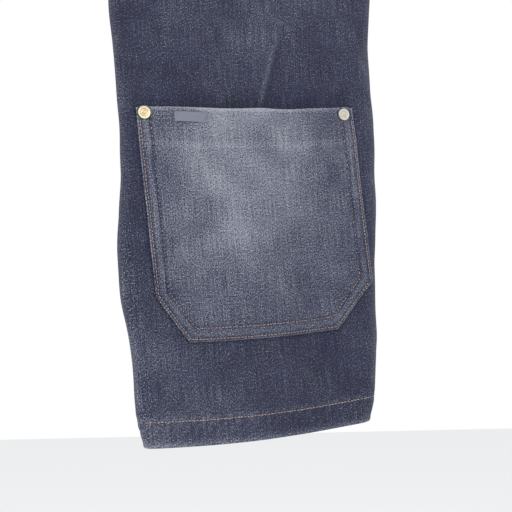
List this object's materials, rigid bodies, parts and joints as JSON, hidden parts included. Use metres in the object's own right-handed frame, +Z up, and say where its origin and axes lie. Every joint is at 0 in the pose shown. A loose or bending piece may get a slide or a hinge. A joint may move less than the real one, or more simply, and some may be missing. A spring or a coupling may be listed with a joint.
{
  "type": "waist apron on a wall hook",
  "caption": "Short denim waist apron with a riveted patch pocket, hanging by its tape loop from a steel wall hook, sides folded back and ties laid over the arm.",
  "frame": {"origin": "centre of the hook plate's back face, on the wall", "axes": "+X to the right as seen from the room, +Y into the wall, +Z up along the hanging apron"},
  "size_m": [0.226, 0.0899, 0.5301],
  "materials": {
    "denim": "dark indigo cotton twill, slightly faded",
    "cotton_tape": "woven cotton tape",
    "woven_label": "tone-on-tone woven label, blank",
    "rivet_brass": "pale antique brass",
    "hook_metal": "satin steel",
    "screw_steel": "bright zinc"
  },
  "bodies": {
    "hook": {"hook_plate": "hook_metal", "hook_arm": "hook_metal", "screw_top": "screw_steel", "screw_bottom": "screw_steel"},
    "loop": {"hanging_loop_crown": "cotton_tape"},
    "apron": {"apron_panel": "denim", "waistband": "denim", "pocket": "denim", "pocket_label": "woven_label", "rivet_cap_left": "rivet_brass", "rivet_burr_left": "rivet_brass", "rivet_cap_right": "rivet_brass", "rivet_burr_right": "rivet_brass", "hanging_loop_left_leg": "cotton_tape", "hanging_loop_right_leg": "cotton_tape", "tie_left": "denim", "tie_right": "denim"}
  },
  "joints": [
    {"name": "lift_off", "type": "slide", "parent": "hook", "child": "loop", "axis": [0, -0.7071, 0.7071], "range_m": [0, 0.07]},
    {"name": "sway", "type": "hinge", "parent": "loop", "child": "apron", "pos_m": [0, -0.038, -0.0131], "axis": [0, 1, 0], "range_deg": [-6, 6]}
  ]
}
